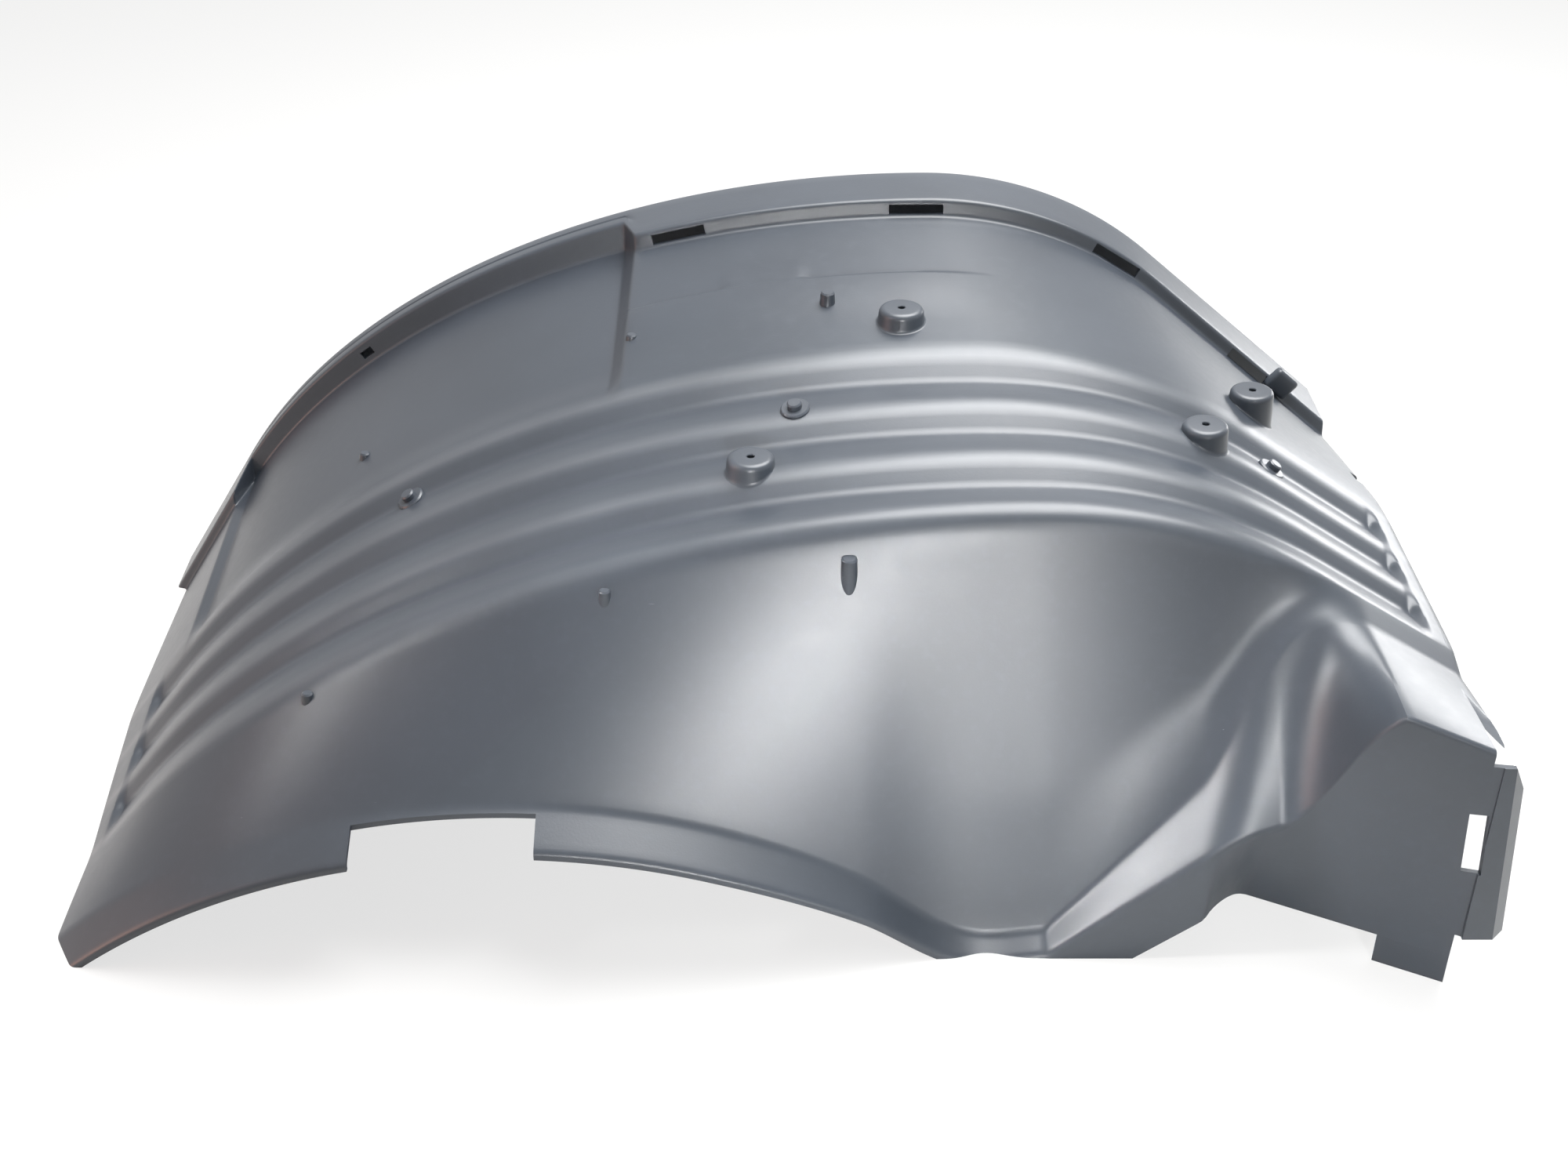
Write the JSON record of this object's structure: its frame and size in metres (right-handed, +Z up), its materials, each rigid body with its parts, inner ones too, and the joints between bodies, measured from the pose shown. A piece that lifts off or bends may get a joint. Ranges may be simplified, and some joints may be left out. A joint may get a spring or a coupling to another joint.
{
  "type": "truck cab fender",
  "caption": "Moulded plastic wheel-arch fender for a truck cab: ribbed arched shell with a raised clip lip, screw bosses and a boxed end panel",
  "frame": {"origin": "middle of the footprint, on the floor that the arch stands on", "axes": "+X along the arch towards its boxed end, +Y inboard towards the raised lip, +Z up"},
  "size_m": [1.164, 0.634, 0.4178],
  "materials": {
    "fender_plastic": "fine moulded grain, satin"
  },
  "bodies": {
    "root": {"fender_shell": "fender_plastic"}
  },
  "joints": []
}
